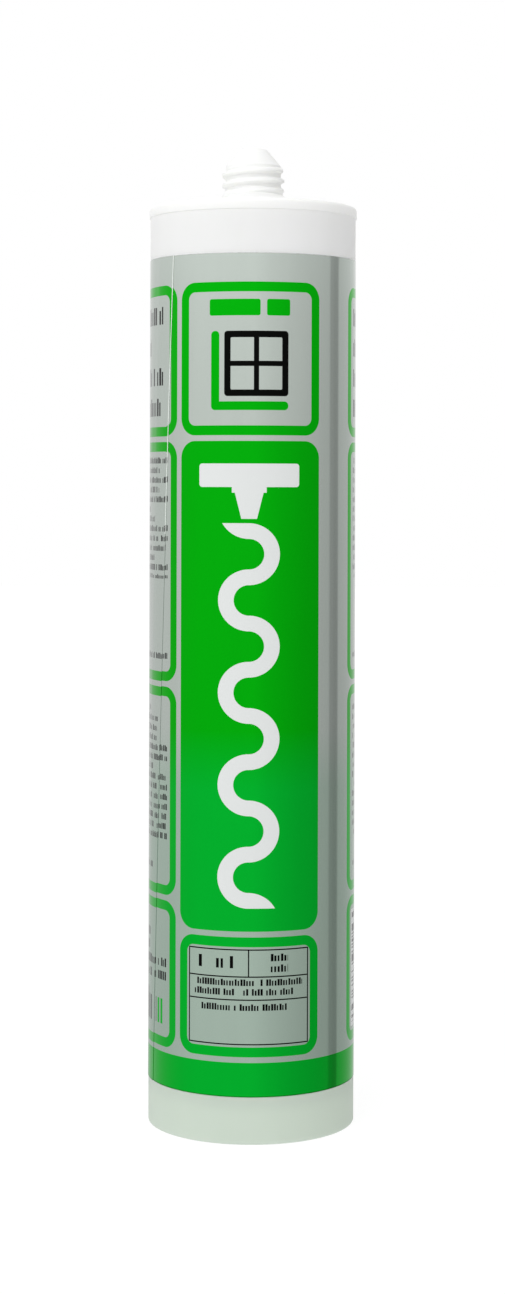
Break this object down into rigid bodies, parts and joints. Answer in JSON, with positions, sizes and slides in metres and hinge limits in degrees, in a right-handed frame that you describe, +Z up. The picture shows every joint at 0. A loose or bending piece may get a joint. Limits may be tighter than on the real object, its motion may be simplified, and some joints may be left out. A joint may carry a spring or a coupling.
{
  "type": "sealant cartridge",
  "caption": "Cylindrical cartridge of sealant paste with a threaded, closed neck, a sliding piston in its open rear end and a wrapped film label.",
  "frame": {"origin": "centre of the barrel's rear edge, on which the cartridge stands", "axes": "+Z up the barrel's axis towards the neck; -Y is the front of the label"},
  "size_m": [0.0494, 0.0494, 0.2317],
  "materials": {
    "barrel_plastic": "satin",
    "piston_plastic": "satin",
    "paste": "matte",
    "silver_film": "satin",
    "green_ink": "gloss",
    "white_ink": "gloss",
    "black_ink": "gloss"
  },
  "bodies": {
    "barrel": {"barrel": "barrel_plastic", "sealant": "paste", "label": "silver_film", "green_print": "green_ink", "white_print": "white_ink", "black_print": "black_ink"},
    "piston": {"piston": "piston_plastic"}
  },
  "joints": [
    {"name": "piston_slide", "type": "slide", "parent": "barrel", "child": "piston", "axis": [0, 0, 1], "range_m": [0, 0.1859], "deforming": ["sealant"]}
  ]
}
